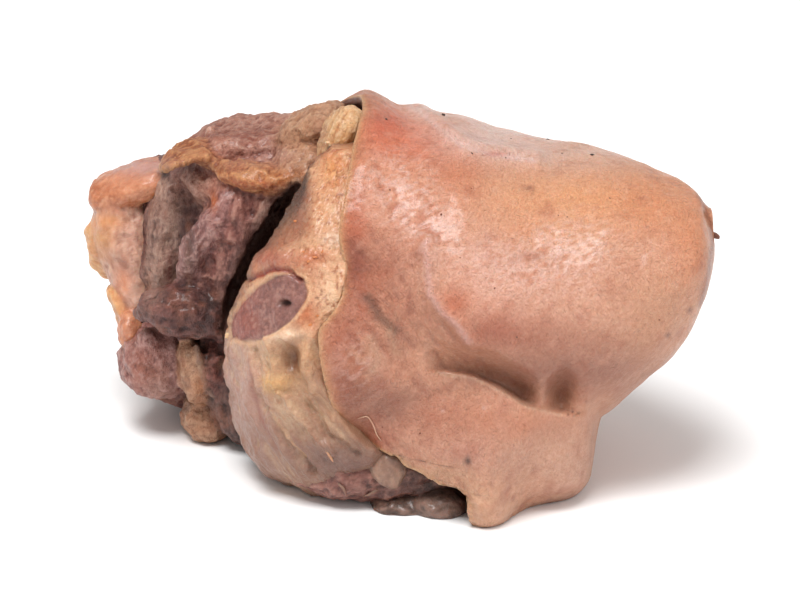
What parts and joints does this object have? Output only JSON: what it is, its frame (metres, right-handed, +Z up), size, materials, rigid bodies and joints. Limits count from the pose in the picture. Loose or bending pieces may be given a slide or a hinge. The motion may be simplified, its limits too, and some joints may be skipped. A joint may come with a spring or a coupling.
{
  "type": "roast ham hock",
  "caption": "Whole roast ham hock with glossy wrinkled rind over a rounded dome, a folded flap, and a cut end of fat and torn fibrous meat; lies on its underside.",
  "frame": {"origin": "on the resting plane, under the middle of the hock's box", "axes": "+X along the length, from the torn cut end towards the rounded rind end; +Y to the back, away from the side with the fold; +Z up"},
  "size_m": [0.1746, 0.1064, 0.1027],
  "materials": {
    "rind": "glossy wrinkled roast rind, salmon pink to orange brown",
    "fat": "moist cream to ochre fat, browned at its edges",
    "cut_meat": "moist cut muscle, grained pink grey",
    "torn_meat": "fibrous torn muscle, purple brown with browned edges",
    "pepper": "dark roasted specks"
  },
  "bodies": {
    "root": {"ham_hock": "rind"}
  },
  "joints": []
}
